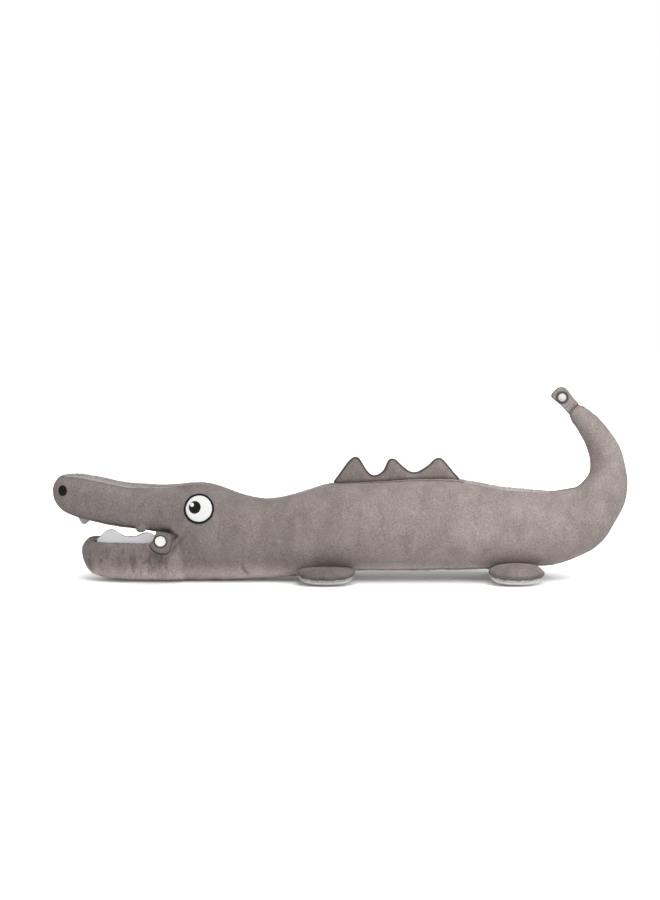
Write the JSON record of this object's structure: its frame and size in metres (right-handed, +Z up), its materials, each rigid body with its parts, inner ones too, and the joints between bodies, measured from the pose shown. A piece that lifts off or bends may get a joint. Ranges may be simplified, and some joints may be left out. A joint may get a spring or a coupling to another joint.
{
  "type": "plush crocodile",
  "caption": "Long low plush crocodile with an opening toothed mouth, felt eyes, a padded back fin, flat oval feet and a curled tail, with a tab and press snap at the mouth and tail.",
  "frame": {"origin": "on the floor under the middle of the bounding box", "axes": "-X is the nose, +X the tail, -Y the crocodile's left side, +Z up"},
  "size_m": [0.7001, 0.146, 0.2324],
  "materials": {
    "black_thread": "satin stitch",
    "dark_plush": "short velvety pile",
    "eye_felt": "smooth felt",
    "fibre_filling": "loose polyester fibre",
    "long_pile_plush": "longer fuzzy pile",
    "short_plush": "short velvety pile",
    "snap_plastic": "glossy",
    "sole_plush": "short velvety pile",
    "tooth_cloth": "smooth felt"
  },
  "bodies": {
    "torso": {"back_strip": "long_pile_plush", "belly_strip": "short_plush", "torso_filling": "fibre_filling", "torso_left_panel": "short_plush", "torso_right_panel": "short_plush"},
    "head": {"chin_strip": "short_plush", "crown_strip": "long_pile_plush", "head_filling": "fibre_filling", "head_left_panel": "short_plush", "head_right_panel": "short_plush", "left_eye_rim": "black_thread", "left_eye_white": "eye_felt", "left_pupil": "black_thread", "lower_jaw_filling": "fibre_filling", "lower_jaw_left_panel": "dark_plush", "lower_jaw_right_panel": "dark_plush", "lower_left_teeth": "tooth_cloth", "lower_right_teeth": "tooth_cloth", "mouth_floor_lining": "dark_plush", "right_eye_rim": "black_thread", "right_eye_white": "eye_felt", "right_pupil": "black_thread", "throat_strip": "short_plush"},
    "fin": {"fin_filling": "fibre_filling", "fin_left_face": "dark_plush", "fin_right_face": "dark_plush"},
    "front_left_foot": {"front_left_foot_filling": "fibre_filling", "front_left_foot_sole": "sole_plush", "front_left_foot_top": "dark_plush"},
    "front_right_foot": {"front_right_foot_filling": "fibre_filling", "front_right_foot_sole": "sole_plush", "front_right_foot_top": "dark_plush"},
    "upper_jaw": {"left_nostril": "black_thread", "palate_lining": "dark_plush", "right_nostril": "black_thread", "snout_filling": "fibre_filling", "snout_left_panel": "short_plush", "snout_right_panel": "short_plush", "snout_top_strip": "long_pile_plush", "upper_left_teeth": "tooth_cloth", "upper_right_teeth": "tooth_cloth"},
    "mouth_tab": {"mouth_snap_cap": "snap_plastic", "mouth_snap_socket": "snap_plastic", "mouth_tab": "dark_plush"},
    "rear_left_foot": {"rear_left_foot_filling": "fibre_filling", "rear_left_foot_sole": "sole_plush", "rear_left_foot_top": "dark_plush"},
    "rear_right_foot": {"rear_right_foot_filling": "fibre_filling", "rear_right_foot_sole": "sole_plush", "rear_right_foot_top": "dark_plush"},
    "tail_base": {"tail_base_filling": "fibre_filling", "tail_base_left_panel": "short_plush", "tail_base_right_panel": "short_plush"},
    "tail_tab": {"tail_snap_cap": "snap_plastic", "tail_snap_stud": "snap_plastic", "tail_tab": "dark_plush"},
    "tail_tip": {"tail_tip_filling": "fibre_filling", "tail_tip_left_panel": "short_plush", "tail_tip_right_panel": "short_plush"}
  },
  "joints": [
    {"name": "neck", "type": "hinge", "parent": "torso", "child": "head", "pos_m": [-0.0872, 0, 0.0504], "axis": [0, 0, 1], "range_deg": [-15, 15], "stiffness_Nm_per_rad": 1.5},
    {"name": "jaw", "type": "hinge", "parent": "head", "child": "upper_jaw", "pos_m": [-0.21537, 0, 0.0875], "axis": [0, 1, 0], "range_deg": [-4, 12], "stiffness_Nm_per_rad": 1},
    {"name": "tail_root", "type": "hinge", "parent": "torso", "child": "tail_base", "pos_m": [0.262, 0, 0.06315], "axis": [0, -1, 0], "range_deg": [-10, 10], "stiffness_Nm_per_rad": 1.5},
    {"name": "tail_mid", "type": "hinge", "parent": "tail_base", "child": "tail_tip", "pos_m": [0.32675, 0, 0.13498], "axis": [0, -1, 0], "range_deg": [-14, 14], "stiffness_Nm_per_rad": 0.8},
    {"name": "tail_tab_fold", "type": "hinge", "parent": "tail_tip", "child": "tail_tab", "pos_m": [0.2828, 0, 0.21204], "axis": [-0.682, 0, -0.7314], "range_deg": [-70, 70], "stiffness_Nm_per_rad": 0.02},
    {"name": "mouth_tab_fold", "type": "hinge", "parent": "head", "child": "mouth_tab", "pos_m": [-0.211, -0.04623, 0.0605], "axis": [-0.965, 0, 0.2622], "range_deg": [0, 115], "stiffness_Nm_per_rad": 0.02},
    {"name": "fin_fold", "type": "hinge", "parent": "torso", "child": "fin", "pos_m": [0.06949, 0, 0.12448], "axis": [0.9998, 0, 0.0209], "range_deg": [-45, 45], "stiffness_Nm_per_rad": 0.05},
    {"name": "front_left_foot_fold", "type": "hinge", "parent": "torso", "child": "front_left_foot", "pos_m": [-0.01649, -0.013, 0.01176], "axis": [1, 0, 0], "range_deg": [0, 60], "stiffness_Nm_per_rad": 0.05},
    {"name": "front_right_foot_fold", "type": "hinge", "parent": "torso", "child": "front_right_foot", "pos_m": [-0.01649, 0.013, 0.01176], "axis": [-1, 0, 0], "range_deg": [0, 60], "stiffness_Nm_per_rad": 0.05},
    {"name": "rear_left_foot_fold", "type": "hinge", "parent": "torso", "child": "rear_left_foot", "pos_m": [0.21702, -0.013, 0.01715], "axis": [1, 0, 0], "range_deg": [0, 60], "stiffness_Nm_per_rad": 0.05},
    {"name": "rear_right_foot_fold", "type": "hinge", "parent": "torso", "child": "rear_right_foot", "pos_m": [0.21702, 0.013, 0.01715], "axis": [-1, 0, 0], "range_deg": [0, 60], "stiffness_Nm_per_rad": 0.05}
  ]
}
